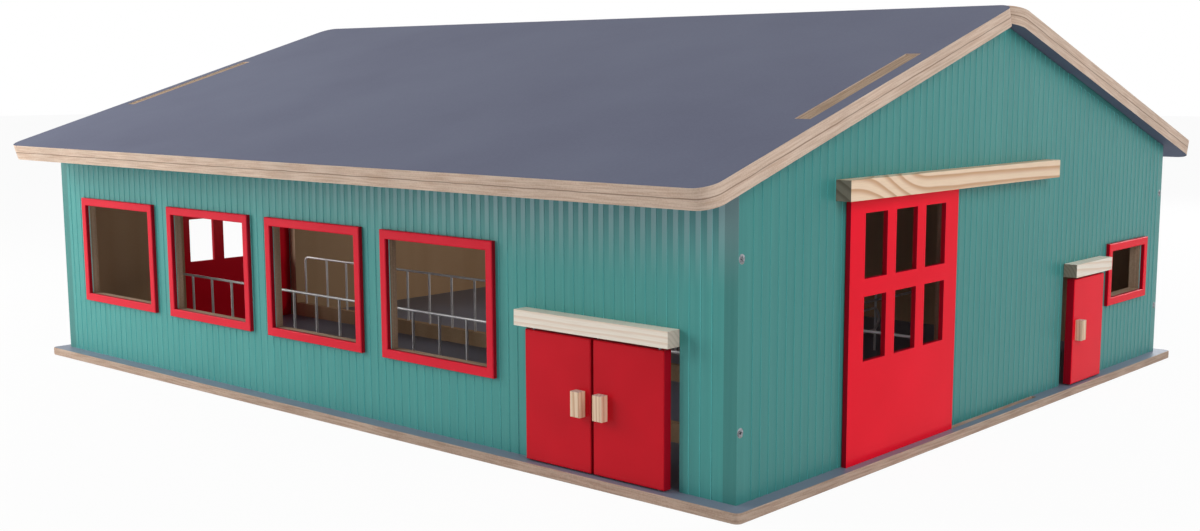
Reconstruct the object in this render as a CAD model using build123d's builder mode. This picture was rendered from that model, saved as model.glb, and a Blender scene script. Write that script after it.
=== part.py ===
"""Wooden toy cattle barn with a lift-off roof, two sliding doors and three hinged doors.

Frame: X runs along the ridge, Y across it, Z up. The long wall with the windows faces -Y,
the gable with the small door faces +X. The origin is the centre of the base's underside.
"""

from build123d import *
from math import cos, radians, sin, tan
import os

os.makedirs("parts", exist_ok=True)

# ---------------------------------------------------------------- driving dimensions (mm)

# base board
base_length = 720.0
base_width = 600.0
base_thickness = 6.0
base_corner_radius = 4.0
base_edge_chamfer = 0.4

# walls
gable_thickness = 9.0
long_wall_thickness = 6.0
end_overhang = 10.0  # base beyond the gables
side_overhang = 11.5  # base beyond the long walls
apex_height = 260.0  # gable apex above the floor
roof_pitch = 17.35  # degrees

# vertical fluting milled into the outer faces of the walls
flute_pitch = 7.7
flute_width = 4.2
flute_depth = 0.3
flute_margin = 3.5  # least plain strip at each end of a wall
gable_flute_margin = 9.0

# roof boards, each two glued plies
roof_end_overhang = 10.0  # beyond the gables
roof_eave_overhang = 35.36  # lower edge of the board beyond the long walls
roof_ply = 6.0
roof_corner_radius = 12.0
roof_seat_gap = 0.3  # between a roof board and the wall tops
ridge_gap = 0.3  # from the ridge plane to each board
roof_slot_length = 123.0
roof_slot_from_ridge = 171.0  # slot centre, down the slope
slot_side_clearance = 0.75
slot_end_clearance = 1.5
tab_below_roof_face = 0.5
tab_root = 3.0  # how far a tab's outline reaches down into the gable

# framed windows of the front wall
first_window_inset = 88.0  # window centre from the left end of the barn
window_gap = 21.0  # between neighbouring frames
window_door_gap = 15.0  # least wall between the last frame and the double doorway
window_width = 93.0
window_height = 72.0
window_centre_height = 86.0
frame_face = 6.0
frame_depth = 3.0
frame_edge_chamfer = 0.5

# framed window of the right gable
gable_window_width = 63.0
gable_window_height = 36.0
gable_window_inset = 68.3  # window centre from the back of the barn
gable_window_centre_height = 74.4

# sliding doors, one on each gable
slide_door_width = 126.0
slide_door_thickness = 3.0
slide_door_inset = 164.5  # door centre from the front of the barn
slide_door_play = 0.5  # to each side, in the groove and behind the rail
slide_stop_gap = 45.0  # from the groove's far end to the small doorway
slide_doorway_overlap = 4.0  # door beyond the doorway at each side
slide_doorway_height = 150.0
light_width = 24.5
light_height = 38.3
light_gap = 10.3  # between neighbouring lights in a row
light_row_gap = 10.5
light_columns = 3
light_rows = 2
light_sill_height = 60.4

# guides of the sliding doors
groove_depth = 2.5
groove_floor_clearance = 0.3
rail_depth = 10.0
rail_height = 12.0
rail_bottom = 156.0
rail_end_cover = 10.0  # solid rail beyond the closed door
rail_far_cover = 9.5  # solid rail beyond the open door
rail_rebate_height = 6.0
rail_door_clearance = 1.0

# hinged doors
leaf_width = 52.0
leaf_thickness = 6.0
leaf_edge_chamfer = 0.5
leaf_wall_gap = 0.5
leaf_floor_gap = 0.8
leaf_header_gap = 2.2
leaf_side_gap = 5.5  # doorway beyond a leaf, so that its heel can turn
leaf_meeting_gap = 2.0
hinged_doorway_height = 81.0
double_door_inset = 97.5  # middle of the doorway from the right end of the barn
small_door_inset = 149.5  # middle of the doorway from the back of the barn
header_depth = 10.0
header_height = 9.5

# pivot pins of the hinged doors
pin_diameter = 2.0
pin_inset = 5.0  # from a leaf's outer edge
pin_depth_in_leaf = 8.0
pin_depth_in_header = 6.0
pin_depth_in_base = 4.0
pin_end_clearance = 0.3
pin_leaf_clearance = 0.01
pin_running_clearance = 0.06

# block handles
handle_width = 7.0
handle_height = 15.0
handle_depth = 5.5
handle_inset = 4.0  # from a leaf's free edge
handle_lift = 1.2  # above the leaf's middle
handle_rounding = 0.8

# countersunk wood screws
screw_diameter = 3.0
screw_head_diameter = 5.6
corner_screw_inset = 3.2  # gable screws, from the long walls' outer faces
screw_clearance = 0.05
screw_tip_length = 2.5
countersink_angle = 90.0
gable_screw_length = 22.0
gable_screw_heights = (39.0, 131.5)
base_screw_length = 18.0
base_screws_per_long_wall = 4
base_screws_per_gable = 3
long_wall_screw_inset = 14.0  # first screw from a long wall's end
gable_wall_screw_inset = 58.5  # first screw from a gable's end

# feed fences and the kerb boards that carry them
fence_height = 57.5
alley_front_margin = 20.0  # from the sliding doorways to the front fence
alley_back_margin = 3.0  # from the sliding doorways to the back fence
fence_end_gap = 11.5  # between a fence and the gables
fence_bend_radius = 5.0
first_upright_gap = 32.7  # from the left leg
upright_pitch = 28.8
upright_end_gap = 10.0  # least gap from the last upright to the right leg
wire_diameter = 2.0
wire_seat_depth = 6.0
wire_clearance = 0.05
kerb_height = 12.0
kerb_thickness = 6.0
kerb_end_gap = 0.5

# cubicle dividers, bent from wire
divider_count = 6
divider_pitch = 40.0
divider_inset = 137.0  # first divider from the right end of the barn
divider_fence_gap = 87.0  # from the back fence to the dividers
divider_length = 115.0
divider_height = 55.0
divider_bend_radius = 6.0
divider_seat_depth = 4.0
loop_reach = 55.0
loop_top_height = 49.0
loop_drop = 17.2

# ---------------------------------------------------------------- derived sizes

walls_length = base_length - 2 * end_overhang
walls_width = base_width - 2 * side_overhang
inner_length = walls_length - 2 * gable_thickness
gable_x = walls_length / 2
gable_foot_x = gable_x - gable_thickness / 2
front_y = walls_width / 2
pitch_angle = radians(roof_pitch)
roof_length = walls_length + 2 * roof_end_overhang
roof_board_width = (front_y + roof_eave_overhang) / cos(pitch_angle) - ridge_gap
roof_thickness = 2 * roof_ply
tab_length = roof_slot_length - 2 * slot_end_clearance
tab_rise = roof_seat_gap + roof_thickness - tab_below_roof_face
wire_radius = wire_diameter / 2
leaf_height = hinged_doorway_height - leaf_floor_gap - leaf_header_gap
leaf_offset = leaf_wall_gap + leaf_thickness / 2
double_door_x = gable_x - double_door_inset
double_doorway_width = 2 * leaf_width + leaf_meeting_gap + 2 * leaf_side_gap
small_door_y = front_y - small_door_inset
small_doorway_width = leaf_width + 2 * leaf_side_gap
slide_slot = slide_door_thickness + 2 * slide_door_play
slide_door_foot = groove_depth - groove_floor_clearance
slide_door_top = rail_bottom + rail_rebate_height - rail_door_clearance
slide_door_centre_y = slide_door_inset - front_y
slide_doorway_width = slide_door_width - 2 * slide_doorway_overlap
groove_start = slide_door_centre_y - slide_door_width / 2 - slide_door_play
groove_end = small_door_y - small_doorway_width / 2 - slide_stop_gap
groove_length = groove_end - groove_start
left_leaf_x = double_door_x - (leaf_meeting_gap + leaf_width) / 2
right_leaf_x = double_door_x + (leaf_meeting_gap + leaf_width) / 2
pin_reach = leaf_width / 2 - pin_inset
screw_head_radius = screw_head_diameter / 2
screw_radius = screw_diameter / 2
corner_screw_y = front_y - corner_screw_inset
long_wall_foot_y = front_y - long_wall_thickness / 2
gable_window_y = front_y - gable_window_inset
first_window_x = first_window_inset - gable_x
window_pitch = window_width + 2 * frame_face + window_gap
last_window_limit = (
    double_door_x - double_doorway_width / 2 - window_door_gap - frame_face - window_width / 2
)
window_count = int((last_window_limit - first_window_x) / window_pitch) + 1
fence_front_y = slide_door_centre_y - slide_doorway_width / 2 - alley_front_margin
fence_back_y = slide_door_centre_y + slide_doorway_width / 2 + alley_back_margin
fence_length = inner_length - 2 * fence_end_gap
upright_count = int((fence_length - first_upright_gap - upright_end_gap) / upright_pitch) + 1
divider_front_y = fence_back_y + divider_fence_gap


def spread(count, pitch):
    """Places of a row of things at an even pitch, set out from its middle."""
    return [(i - (count - 1) / 2) * pitch for i in range(count)]


window_xs = [first_window_x + i * window_pitch for i in range(window_count)]
divider_xs = [gable_x - divider_inset - i * divider_pitch for i in range(divider_count)]
upright_xs = [
    first_upright_gap - fence_length / 2 + i * upright_pitch for i in range(upright_count)
]
long_wall_screw_xs = spread(
    base_screws_per_long_wall,
    (inner_length - 2 * long_wall_screw_inset) / (base_screws_per_long_wall - 1),
)
gable_wall_screw_ys = spread(
    base_screws_per_gable,
    (walls_width - 2 * gable_wall_screw_inset) / (base_screws_per_gable - 1),
)


def roof_line(y):
    """Height of the wall tops above the floor at a distance y from the ridge plane."""
    return apex_height - abs(y) * tan(pitch_angle)


# ---------------------------------------------------------------- planes
# Each wall plane lies on that wall's outer face, with its origin at the floor.

floor = Plane.XY.offset(base_thickness)
front_face = Plane(origin=(0, -front_y, base_thickness), x_dir=(1, 0, 0), z_dir=(0, -1, 0))
back_face = Plane(origin=(0, front_y, base_thickness), x_dir=(-1, 0, 0), z_dir=(0, 1, 0))
right_face = Plane(origin=(gable_x, 0, base_thickness), x_dir=(0, 1, 0), z_dir=(1, 0, 0))
ridge_point = (0, 0, base_thickness + apex_height + roof_seat_gap / cos(pitch_angle))
front_slope = Plane(
    origin=ridge_point, x_dir=(1, 0, 0), z_dir=(0, -sin(pitch_angle), cos(pitch_angle))
)

# hinge axes, as points on the floor
left_pivot = (left_leaf_x - pin_reach, -front_y - leaf_offset)
right_pivot = (right_leaf_x + pin_reach, -front_y - leaf_offset)
small_pivot = (gable_x + leaf_offset, small_door_y + pin_reach)


# ---------------------------------------------------------------- base board

gable_screw_points = [
    (side * corner_screw_y, height) for side in (-1, 1) for height in gable_screw_heights
]
base_screw_points = [
    (x, side * long_wall_foot_y) for x in long_wall_screw_xs for side in (-1, 1)
] + [(side * gable_foot_x, y) for y in gable_wall_screw_ys for side in (-1, 1)]
divider_leg_points = [
    (x, y) for x in divider_xs for y in (divider_front_y, divider_front_y + divider_length)
]

with BuildPart() as base_plate:
    with BuildSketch():
        RectangleRounded(base_length, base_width, base_corner_radius)
    extrude(amount=base_thickness)
    chamfer(base_plate.edges().group_by(Axis.Z)[-1], base_edge_chamfer)
    chamfer(base_plate.edges().group_by(Axis.Z)[0], base_edge_chamfer)
    # grooves that the feet of the sliding doors run in
    with BuildSketch(floor):
        for side in (-1, 1):
            with Locations((side * (gable_x + slide_slot / 2), groove_start)):
                Rectangle(slide_slot, groove_length, align=(Align.CENTER, Align.MIN))
    extrude(amount=-groove_depth, mode=Mode.SUBTRACT)
    # sockets of the lower pivot pins
    with BuildSketch(floor):
        with Locations(left_pivot, right_pivot, small_pivot):
            Circle(pin_diameter / 2 + pin_running_clearance)
    extrude(amount=-pin_depth_in_base, mode=Mode.SUBTRACT)
    # sockets of the divider wires
    with BuildSketch(floor):
        with Locations(*divider_leg_points):
            Circle(wire_radius + wire_clearance)
    extrude(amount=-divider_seat_depth, mode=Mode.SUBTRACT)
    # countersunk screw holes, from below
    with Locations(Plane.XY.rotated((180, 0, 0))):
        with Locations(*[(x, -y) for x, y in base_screw_points]):
            CounterSinkHole(
                screw_radius + screw_clearance,
                screw_head_radius,
                counter_sink_angle=countersink_angle,
            )
base_plate.part.label = "base_plate"
export_step(base_plate.part, "parts/base_plate.step")


# ---------------------------------------------------------------- long walls


def flute_positions(length, margin):
    """Centres of the flutes along a wall, with a plain margin at each end."""
    return spread(int((length - 2 * margin - flute_width) / flute_pitch) + 1, flute_pitch)


def long_wall(face, side):
    """A long wall's board, bevelled to the roof at its top and fluted on its outer face."""
    outer = side * front_y
    inner = side * (front_y - long_wall_thickness)
    with BuildPart() as wall:
        with BuildSketch(Plane.YZ):
            with BuildLine():
                Polyline(
                    (outer, base_thickness),
                    (outer, base_thickness + roof_line(outer)),
                    (inner, base_thickness + roof_line(inner)),
                    (inner, base_thickness),
                    close=True,
                )
            make_face()
        extrude(amount=inner_length / 2, both=True)
        with BuildSketch(face):
            with Locations(*[(x, 0) for x in flute_positions(inner_length, flute_margin)]):
                Rectangle(flute_width, apex_height, align=(Align.CENTER, Align.MIN))
        extrude(amount=-flute_depth, mode=Mode.SUBTRACT)
        # pilot holes for the screws through the gables and the base
        for end in (-1, 1):
            with BuildSketch(Plane.YZ.offset(end * inner_length / 2)):
                for height in gable_screw_heights:
                    with Locations((side * corner_screw_y, base_thickness + height)):
                        Circle(screw_radius + screw_clearance)
            extrude(amount=end * (gable_thickness - gable_screw_length), mode=Mode.SUBTRACT)
        with BuildSketch(floor):
            with Locations(*[(x, side * long_wall_foot_y) for x in long_wall_screw_xs]):
                Circle(screw_radius + screw_clearance)
        extrude(amount=base_screw_length - base_thickness, mode=Mode.SUBTRACT)
    return wall


with BuildPart() as front_wall:
    add(long_wall(front_face, -1).part)
    with BuildSketch(front_face):
        with Locations(*[(x, window_centre_height) for x in window_xs]):
            Rectangle(window_width, window_height)
        with Locations((double_door_x, 0)):
            Rectangle(
                double_doorway_width, hinged_doorway_height, align=(Align.CENTER, Align.MIN)
            )
    extrude(amount=-long_wall_thickness, mode=Mode.SUBTRACT)
front_wall.part.label = "front_wall"
export_step(front_wall.part, "parts/front_wall.step")

back_wall = long_wall(back_face, 1)
back_wall.part.label = "back_wall"
export_step(back_wall.part, "parts/back_wall.step")


# ---------------------------------------------------------------- gable walls


def gable_wall():
    """The right gable's board with its sliding doorway and the two roof tabs."""
    with BuildPart() as wall:
        with BuildSketch(right_face):
            with BuildLine():
                Polyline(
                    (-front_y, 0),
                    (front_y, 0),
                    (front_y, roof_line(front_y)),
                    (0, apex_height),
                    (-front_y, roof_line(front_y)),
                    close=True,
                )
            make_face()
        extrude(amount=-gable_thickness)
        with BuildSketch(right_face):
            with Locations(*[(y, 0) for y in flute_positions(walls_width, gable_flute_margin)]):
                Rectangle(flute_width, apex_height, align=(Align.CENTER, Align.MIN))
        extrude(amount=-flute_depth, mode=Mode.SUBTRACT)
        with BuildSketch(right_face):
            for side in (-1, 1):
                tab_foot = (
                    side * (roof_slot_from_ridge * cos(pitch_angle) - tab_root * sin(pitch_angle)),
                    apex_height
                    - roof_slot_from_ridge * sin(pitch_angle)
                    - tab_root * cos(pitch_angle),
                )
                with Locations(tab_foot):
                    Rectangle(
                        tab_length,
                        tab_root + tab_rise,
                        rotation=-side * roof_pitch,
                        align=(Align.CENTER, Align.MIN),
                    )
        extrude(amount=-gable_thickness)
        with BuildSketch(right_face):
            with Locations((slide_door_centre_y, 0)):
                Rectangle(
                    slide_doorway_width, slide_doorway_height, align=(Align.CENTER, Align.MIN)
                )
        extrude(amount=-gable_thickness, mode=Mode.SUBTRACT)
        with Locations(right_face):
            with Locations(*gable_screw_points):
                CounterSinkHole(
                    screw_radius + screw_clearance,
                    screw_head_radius,
                    depth=gable_thickness,
                    counter_sink_angle=countersink_angle,
                )
        with BuildSketch(floor):
            with Locations(*[(gable_foot_x, y) for y in gable_wall_screw_ys]):
                Circle(screw_radius + screw_clearance)
        extrude(amount=base_screw_length - base_thickness, mode=Mode.SUBTRACT)
    return wall


with BuildPart() as gable_wall_right:
    add(gable_wall().part)
    with BuildSketch(right_face):
        with Locations((small_door_y, 0)):
            Rectangle(
                small_doorway_width, hinged_doorway_height, align=(Align.CENTER, Align.MIN)
            )
        with Locations((gable_window_y, gable_window_centre_height)):
            Rectangle(gable_window_width, gable_window_height)
    extrude(amount=-gable_thickness, mode=Mode.SUBTRACT)
gable_wall_right.part.label = "gable_wall_right"
export_step(gable_wall_right.part, "parts/gable_wall_right.step")

with BuildPart() as gable_wall_left:
    add(mirror(gable_wall().part, about=Plane.YZ, mode=Mode.PRIVATE))
gable_wall_left.part.label = "gable_wall_left"
export_step(gable_wall_left.part, "parts/gable_wall_left.step")


# ---------------------------------------------------------------- roof boards


def roof_ply_sheet(height):
    """One ply of the front roof board, slotted for the gable tabs, at a height over its seat."""
    slot_width = gable_thickness + 2 * slot_side_clearance
    with BuildPart() as ply:
        with BuildSketch(front_slope.offset(height)):
            with Locations((0, -ridge_gap - roof_board_width / 2)):
                RectangleRounded(roof_length, roof_board_width, roof_corner_radius)
            for side in (-1, 1):
                with Locations((side * gable_foot_x, -roof_slot_from_ridge)):
                    Rectangle(slot_width, roof_slot_length, mode=Mode.SUBTRACT)
        extrude(amount=roof_ply)
    return ply


for layer, height in (("lower", 0.0), ("upper", roof_ply)):
    front_ply = roof_ply_sheet(height)
    front_ply.part.label = f"roof_front_{layer}"
    export_step(front_ply.part, f"parts/{front_ply.part.label}.step")
    with BuildPart() as back_ply:
        add(mirror(front_ply.part, about=Plane.XZ, mode=Mode.PRIVATE))
    back_ply.part.label = f"roof_back_{layer}"
    export_step(back_ply.part, f"parts/{back_ply.part.label}.step")


# ---------------------------------------------------------------- window frames


def window_frame(face, centre, width, height):
    """A flat frame round a window opening, on a wall's outer face."""
    outward = Axis((0, 0, 0), face.z_dir)
    with BuildPart() as frame:
        with BuildSketch(face):
            with Locations(centre):
                Rectangle(width + 2 * frame_face, height + 2 * frame_face)
                Rectangle(width, height, mode=Mode.SUBTRACT)
        extrude(amount=frame_depth)
        chamfer(frame.faces().sort_by(outward)[-1].edges(), frame_edge_chamfer)
    return frame


for i, x in enumerate(window_xs, start=1):
    front_frame = window_frame(
        front_face, (x, window_centre_height), window_width, window_height
    )
    front_frame.part.label = f"front_window_frame_{i}"
    export_step(front_frame.part, f"parts/{front_frame.part.label}.step")

gable_window_frame = window_frame(
    right_face,
    (gable_window_y, gable_window_centre_height),
    gable_window_width,
    gable_window_height,
)
gable_window_frame.part.label = "gable_window_frame"
export_step(gable_window_frame.part, "parts/gable_window_frame.step")


# ---------------------------------------------------------------- sliding doors and rails


def sliding_door():
    """The right gable's sliding door, closed: a thin board with two rows of open lights."""
    light_x_pitch = light_width + light_gap
    light_z_pitch = light_height + light_row_gap
    first_light_z = light_sill_height + light_height / 2
    with BuildPart() as door:
        with BuildSketch(right_face.offset(slide_door_play)):
            with Locations((slide_door_centre_y, -slide_door_foot)):
                Rectangle(
                    slide_door_width,
                    slide_door_foot + slide_door_top,
                    align=(Align.CENTER, Align.MIN),
                )
            lights_centre = first_light_z + (light_rows - 1) * light_z_pitch / 2
            with Locations((slide_door_centre_y, lights_centre)):
                with GridLocations(light_x_pitch, light_z_pitch, light_columns, light_rows):
                    Rectangle(light_width, light_height, mode=Mode.SUBTRACT)
        extrude(amount=slide_door_thickness)
    return door


def sliding_rail():
    """The wooden rail over the sliding door, rebated at its back for the door's top edge."""
    rail_length = rail_end_cover + groove_length + rail_far_cover
    with BuildPart() as rail:
        with BuildSketch(right_face):
            with Locations((groove_start - rail_end_cover, rail_bottom)):
                Rectangle(rail_length, rail_height, align=(Align.MIN, Align.MIN))
        extrude(amount=rail_depth)
        with BuildSketch(right_face):
            with Locations((groove_start, rail_bottom)):
                Rectangle(groove_length, rail_rebate_height, align=(Align.MIN, Align.MIN))
        extrude(amount=slide_slot, mode=Mode.SUBTRACT)
    return rail


for piece_name, right_piece in (
    ("sliding_door", sliding_door()),
    ("sliding_rail", sliding_rail()),
):
    right_piece.part.label = f"{piece_name}_right"
    export_step(right_piece.part, f"parts/{right_piece.part.label}.step")
    with BuildPart() as left_piece:
        add(mirror(right_piece.part, about=Plane.YZ, mode=Mode.PRIVATE))
    left_piece.part.label = f"{piece_name}_left"
    export_step(left_piece.part, f"parts/{left_piece.part.label}.step")


# ---------------------------------------------------------------- hinged doors


def door_header(face, centre, length, pivots):
    """The wooden block over a hinged doorway, with a blind socket for each upper pivot pin."""
    with BuildPart() as header:
        with BuildSketch(face):
            with Locations((centre, hinged_doorway_height)):
                Rectangle(length, header_height, align=(Align.CENTER, Align.MIN))
        extrude(amount=header_depth)
        with BuildSketch(floor.offset(hinged_doorway_height)):
            with Locations(*pivots):
                Circle(pin_diameter / 2 + pin_running_clearance)
        extrude(amount=pin_depth_in_header, mode=Mode.SUBTRACT)
    return header


def door_leaf(face, centre, pivot):
    """A hinged leaf, closed, with a blind hole for a pivot pin in its top and bottom edges."""
    outward = Axis((0, 0, 0), face.z_dir)
    with BuildPart() as leaf:
        with BuildSketch(face.offset(leaf_wall_gap)):
            with Locations((centre, leaf_floor_gap)):
                Rectangle(leaf_width, leaf_height, align=(Align.CENTER, Align.MIN))
        extrude(amount=leaf_thickness)
        chamfer(leaf.faces().sort_by(outward)[-1].edges(), leaf_edge_chamfer)
        for height, depth in (
            (leaf_floor_gap, pin_depth_in_leaf),
            (leaf_floor_gap + leaf_height, -pin_depth_in_leaf),
        ):
            with BuildSketch(floor.offset(height)):
                with Locations(pivot):
                    Circle(pin_diameter / 2 + pin_leaf_clearance)
            extrude(amount=depth, mode=Mode.SUBTRACT)
    return leaf


def door_pins(pivot):
    """A leaf's two pivot pins: one up into the header, one down into the base."""
    upper_foot = leaf_floor_gap + leaf_height - pin_depth_in_leaf
    upper_top = hinged_doorway_height + pin_depth_in_header - pin_end_clearance
    lower_foot = pin_end_clearance - pin_depth_in_base
    lower_top = leaf_floor_gap + pin_depth_in_leaf
    with BuildPart() as pins:
        for foot, top in ((upper_foot, upper_top), (lower_foot, lower_top)):
            with BuildSketch(floor.offset(foot)):
                with Locations(pivot):
                    Circle(pin_diameter / 2)
            extrude(amount=top - foot)
    return pins


def door_handle(face, centre):
    """A small block handle on a leaf's front, a little above the leaf's middle."""
    outward = Axis((0, 0, 0), face.z_dir)
    with BuildPart() as handle:
        with BuildSketch(face.offset(leaf_wall_gap + leaf_thickness)):
            with Locations((centre, leaf_floor_gap + leaf_height / 2 + handle_lift)):
                Rectangle(handle_width, handle_height)
        extrude(amount=handle_depth)
        fillet(handle.faces().sort_by(outward)[-1].edges(), handle_rounding)
    return handle


double_door_header = door_header(
    front_face, double_door_x, double_doorway_width, (left_pivot, right_pivot)
)
double_door_header.part.label = "double_door_header"
export_step(double_door_header.part, "parts/double_door_header.step")

small_door_header = door_header(
    right_face, small_door_y, small_doorway_width, (small_pivot,)
)
small_door_header.part.label = "small_door_header"
export_step(small_door_header.part, "parts/small_door_header.step")

# name, wall plane, leaf centre along the wall, pivot, side of the leaf's free edge
hinged_doors = (
    ("double_door_left", front_face, left_leaf_x, left_pivot, 1),
    ("double_door_right", front_face, right_leaf_x, right_pivot, -1),
    ("small_door", right_face, small_door_y, small_pivot, -1),
)
handle_reach = leaf_width / 2 - handle_inset - handle_width / 2

for door_name, face, centre, pivot, free_side in hinged_doors:
    leaf = door_leaf(face, centre, pivot)
    leaf.part.label = door_name
    export_step(leaf.part, f"parts/{door_name}.step")
    pins = door_pins(pivot)
    pins.part.label = f"{door_name}_pins"
    export_step(pins.part, f"parts/{door_name}_pins.step")
    handle = door_handle(face, centre + free_side * handle_reach)
    handle.part.label = f"{door_name}_handle"
    export_step(handle.part, f"parts/{door_name}_handle.step")


# ---------------------------------------------------------------- screws


def screws(face, points, length):
    """Countersunk screws driven into a face, heads flush with it, with pointed tips."""
    head_height = (screw_head_radius - screw_radius) / tan(radians(countersink_angle / 2))
    with BuildPart() as group:
        with BuildSketch(Plane.XZ):
            with BuildLine():
                Polyline(
                    (0, 0),
                    (screw_head_radius, 0),
                    (screw_radius, -head_height),
                    (screw_radius, screw_tip_length - length),
                    (0, -length),
                    close=True,
                )
            make_face()
        revolve(axis=Axis.Z)
    one_screw = group.part
    with BuildPart(face) as placed:
        with Locations(*points):
            add(one_screw)
    return placed


gable_screws_right = screws(right_face, gable_screw_points, gable_screw_length)
gable_screws_right.part.label = "gable_screws_right"
export_step(gable_screws_right.part, "parts/gable_screws_right.step")

with BuildPart() as gable_screws_left:
    add(mirror(gable_screws_right.part, about=Plane.YZ, mode=Mode.PRIVATE))
gable_screws_left.part.label = "gable_screws_left"
export_step(gable_screws_left.part, "parts/gable_screws_left.step")

base_screws = screws(
    Plane.XY.rotated((180, 0, 0)), [(x, -y) for x, y in base_screw_points], base_screw_length
)
base_screws.part.label = "base_screws"
export_step(base_screws.part, "parts/base_screws.step")


# ---------------------------------------------------------------- feed fences

leg_xs = [-fence_length / 2, fence_length / 2]


def feed_kerb(y):
    """The low board along the feed alley, drilled from above for the fence's wires."""
    with BuildPart() as kerb:
        with BuildSketch(floor):
            with Locations((0, y)):
                Rectangle(inner_length - 2 * kerb_end_gap, kerb_thickness)
        extrude(amount=kerb_height)
        with BuildSketch(floor.offset(kerb_height)):
            with Locations(*[(x, y) for x in leg_xs + upright_xs]):
                Circle(wire_radius + wire_clearance)
        extrude(amount=-wire_seat_depth, mode=Mode.SUBTRACT)
    return kerb


def feed_fence(y):
    """A welded wire fence: a top rail bent down at both ends, with uprights under it."""
    foot = base_thickness + kerb_height - wire_seat_depth + wire_clearance
    rail_z = base_thickness + fence_height - wire_radius
    half = fence_length / 2
    with BuildPart() as fence:
        with BuildLine(Plane.XZ.offset(-y)) as path:
            FilletPolyline(
                (-half, foot), (-half, rail_z), (half, rail_z), (half, foot),
                radius=fence_bend_radius,
            )
        with BuildSketch(Plane.XY.offset(foot)):
            with Locations((-half, y)):
                Circle(wire_radius)
        sweep(path=path.wire())
        with BuildSketch(Plane.XY.offset(foot)):
            with Locations(*[(x, y) for x in upright_xs]):
                Circle(wire_radius)
        extrude(amount=rail_z - foot)
    return fence


for place, y in (("front", fence_front_y), ("back", fence_back_y)):
    kerb = feed_kerb(y)
    kerb.part.label = f"feed_kerb_{place}"
    export_step(kerb.part, f"parts/feed_kerb_{place}.step")
    fence = feed_fence(y)
    fence.part.label = f"feed_fence_{place}"
    export_step(fence.part, f"parts/feed_fence_{place}.step")


# ---------------------------------------------------------------- cubicle dividers


def cubicle_divider():
    """A wire hoop with a closed loop at its front leg, which stands on the frame's Z axis."""
    foot = base_thickness - divider_seat_depth + wire_clearance
    top = base_thickness + divider_height - wire_radius
    loop_top = base_thickness + loop_top_height - wire_radius
    loop_bottom = loop_top - loop_drop
    loop_bend = loop_reach - wire_radius - loop_drop / 2
    with BuildPart() as divider:
        with BuildLine(Plane.YZ) as hoop:
            FilletPolyline(
                (0, foot), (0, top), (divider_length, top), (divider_length, foot),
                radius=divider_bend_radius,
            )
        with BuildSketch(Plane.XY.offset(foot)):
            Circle(wire_radius)
        sweep(path=hoop.wire())
        with BuildLine(Plane.YZ) as loop:
            Line((0, loop_top), (loop_bend, loop_top))
            ThreePointArc(
                (loop_bend, loop_top),
                (loop_bend + loop_drop / 2, (loop_top + loop_bottom) / 2),
                (loop_bend, loop_bottom),
            )
            Line((loop_bend, loop_bottom), (0, loop_bottom))
        with BuildSketch(Plane.XZ):
            with Locations((0, loop_top)):
                Circle(wire_radius)
        sweep(path=loop.wire())
    return divider


one_divider = cubicle_divider().part

for i, x in enumerate(divider_xs, start=1):
    with BuildPart() as divider:
        with Locations((x, divider_front_y, 0)):
            add(one_divider)
    divider.part.label = f"cubicle_divider_{i}"
    export_step(divider.part, f"parts/cubicle_divider_{i}.step")
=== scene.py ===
import math
import random

import bmesh
import bpy
from mathutils import Matrix, Vector


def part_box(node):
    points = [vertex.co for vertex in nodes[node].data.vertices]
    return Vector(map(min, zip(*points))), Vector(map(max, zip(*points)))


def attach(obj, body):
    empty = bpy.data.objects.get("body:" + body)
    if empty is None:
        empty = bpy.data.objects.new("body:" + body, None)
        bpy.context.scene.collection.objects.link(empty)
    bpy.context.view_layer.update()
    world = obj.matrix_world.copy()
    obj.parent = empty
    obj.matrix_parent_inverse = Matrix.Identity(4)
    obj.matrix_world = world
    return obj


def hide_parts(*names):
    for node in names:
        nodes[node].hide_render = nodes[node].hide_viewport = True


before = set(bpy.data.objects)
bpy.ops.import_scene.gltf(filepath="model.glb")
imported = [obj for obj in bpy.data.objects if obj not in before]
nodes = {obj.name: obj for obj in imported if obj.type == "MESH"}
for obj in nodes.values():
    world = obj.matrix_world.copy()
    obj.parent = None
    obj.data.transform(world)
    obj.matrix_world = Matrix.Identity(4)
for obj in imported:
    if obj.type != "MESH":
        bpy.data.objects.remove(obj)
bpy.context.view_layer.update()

X_AXIS = 0
Y_AXIS = 1
Z_AXIS = 2

# Sizes of the barn that its finishes need, in millimetres from the frame's origin.
GABLE_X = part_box("gable_wall_right")[1].x * 1000  # outer face of a gable
WALL_Y = -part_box("front_wall")[0].y * 1000  # outer face of a long wall
GABLE_THICKNESS = GABLE_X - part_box("gable_wall_right")[0].x * 1000
LONG_WALL_THICKNESS = WALL_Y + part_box("front_wall")[1].y * 1000
RAIL_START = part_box("sliding_rail_right")[0].y * 1000  # front end of a sliding door's rail
FLUTE_DEPTH = 0.3
PAINT_CREEP = 0.3  # how far the walls' paint runs in over a cut edge
FLUTE_WALL = (-0.22, -0.08)  # where a flute turns into a ridge, from the board's outer face
ROOF_PLY = 6.0
ROOF_PITCH = math.radians(17.35)
ROOF_SEAT = 254.2  # underside of a roof board, square to its slope

# Where the painted sheen on the long walls fades in, in millimetres.
SHEEN_HEIGHTS = (115.0, 200.0)
SHEEN_PLACES = (-120.0, 160.0)  # from left to right along the wall


# ---------------------------------------------------------------- making finishes


def linear(hex_colour):
    """An sRGB hex value as linear red, green, blue and alpha."""
    channels = []
    for start in (1, 3, 5):
        value = int(hex_colour[start:start + 2], 16) / 255
        channels.append(value / 12.92 if value <= 0.04045 else ((value + 0.055) / 1.055) ** 2.4)
    return (*channels, 1.0)


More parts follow.
